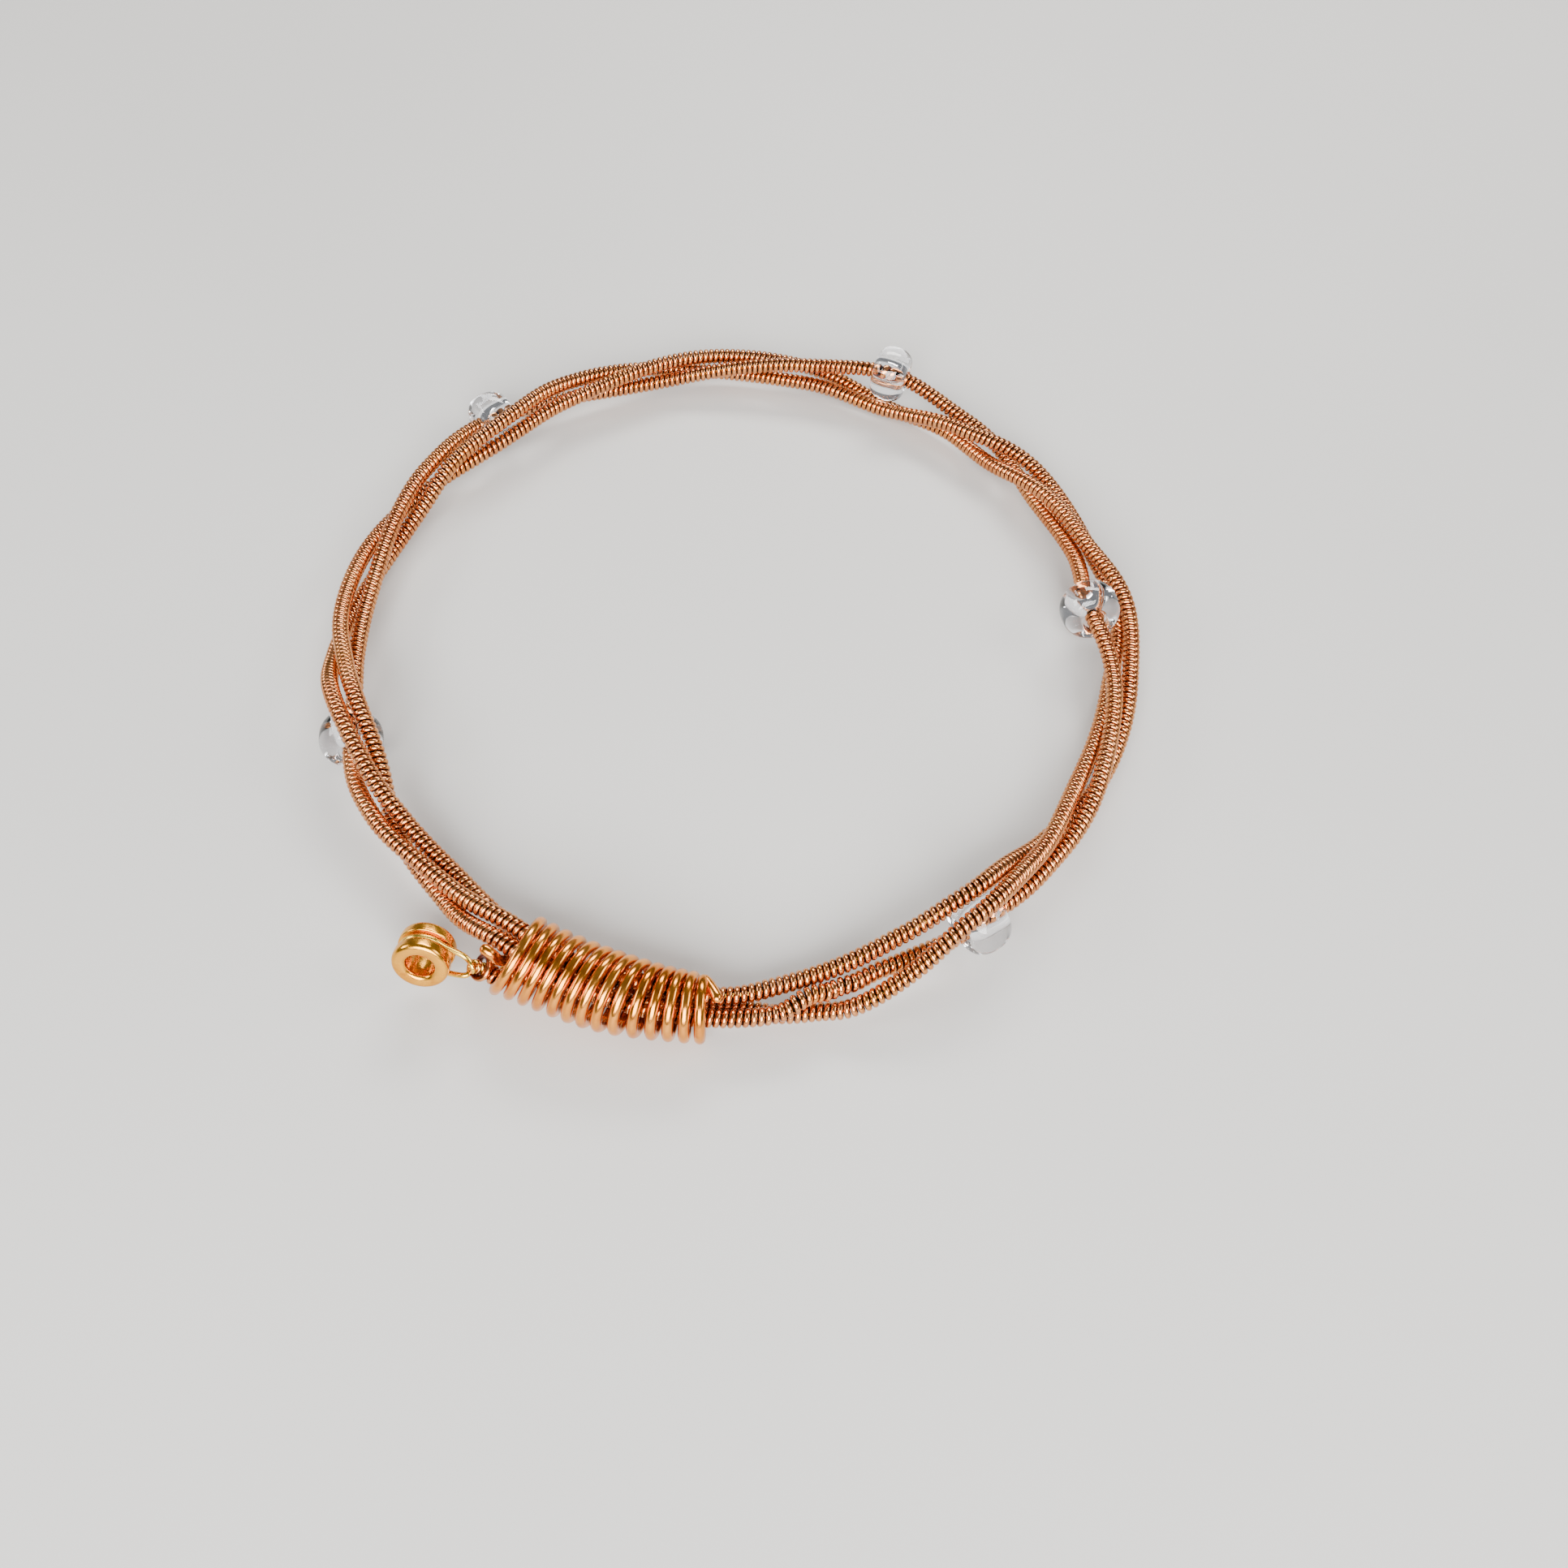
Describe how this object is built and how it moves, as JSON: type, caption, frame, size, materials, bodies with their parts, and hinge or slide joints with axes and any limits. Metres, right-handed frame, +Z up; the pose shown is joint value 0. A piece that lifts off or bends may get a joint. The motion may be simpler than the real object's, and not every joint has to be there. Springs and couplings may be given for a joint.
{
  "type": "guitar string bangle",
  "caption": "Bangle bracelet of twisted wound guitar string with glass rondelle beads, a wire binding and the string's brass ball end left in its loop.",
  "frame": {"origin": "centre of the bounding box in plan, on the plane that the bangle rests on", "axes": "+Z up out of the plane the bangle rests on, -Y towards the binding, +X to the right when the binding faces the viewer"},
  "size_m": [0.0678, 0.072, 0.0066],
  "materials": {
    "winding": "phosphor bronze round wound wire, bright with darkened gaps",
    "core": "plated steel core wire, drawn",
    "binding": "plain bronze wire, bright drawn",
    "ball_brass": "turned and tumbled",
    "bead_glass": "clear polished"
  },
  "bodies": {
    "bangle": {"winding_turn_1": "winding", "winding_turn_2": "winding", "winding_turn_3": "winding", "winding_lead": "winding", "core_wire": "core", "ball_loop": "core", "binding_wire": "binding"},
    "ball_end": {"ball_end": "ball_brass"},
    "bead_1": {"bead_1": "bead_glass"},
    "bead_2": {"bead_2": "bead_glass"},
    "bead_3": {"bead_3": "bead_glass"},
    "bead_4": {"bead_4": "bead_glass"},
    "bead_5": {"bead_5": "bead_glass"}
  },
  "joints": [
    {"name": "bead_1_spin", "type": "hinge", "parent": "bangle", "child": "bead_1", "pos_m": [0.01705, -0.02755, 0.00254], "axis": [0.8491, 0.5271, 0.034], "continuous": true},
    {"name": "bead_2_spin", "type": "hinge", "parent": "bangle", "child": "bead_2", "pos_m": [0.02992, 0.00058, 0.00382], "axis": [-0.0638, 0.9792, -0.1927], "continuous": true},
    {"name": "bead_3_spin", "type": "hinge", "parent": "bangle", "child": "bead_3", "pos_m": [0.01601, 0.03054, 0.00393], "axis": [-0.9141, 0.3973, 0.0808], "continuous": true},
    {"name": "bead_4_spin", "type": "hinge", "parent": "bangle", "child": "bead_4", "pos_m": [-0.02192, 0.02785, 0.00251], "axis": [-0.7881, -0.6024, 0.1264], "continuous": true},
    {"name": "bead_5_spin", "type": "hinge", "parent": "bangle", "child": "bead_5", "pos_m": [-0.03094, -0.0086, 0.0025], "axis": [0.0905, -0.9956, 0.0247], "continuous": true},
    {"name": "ball_end_spin", "type": "hinge", "parent": "bangle", "child": "ball_end", "pos_m": [-0.02303, -0.02886, 0.00391], "axis": [-0.1308, -0.9305, 0.342], "continuous": true}
  ]
}
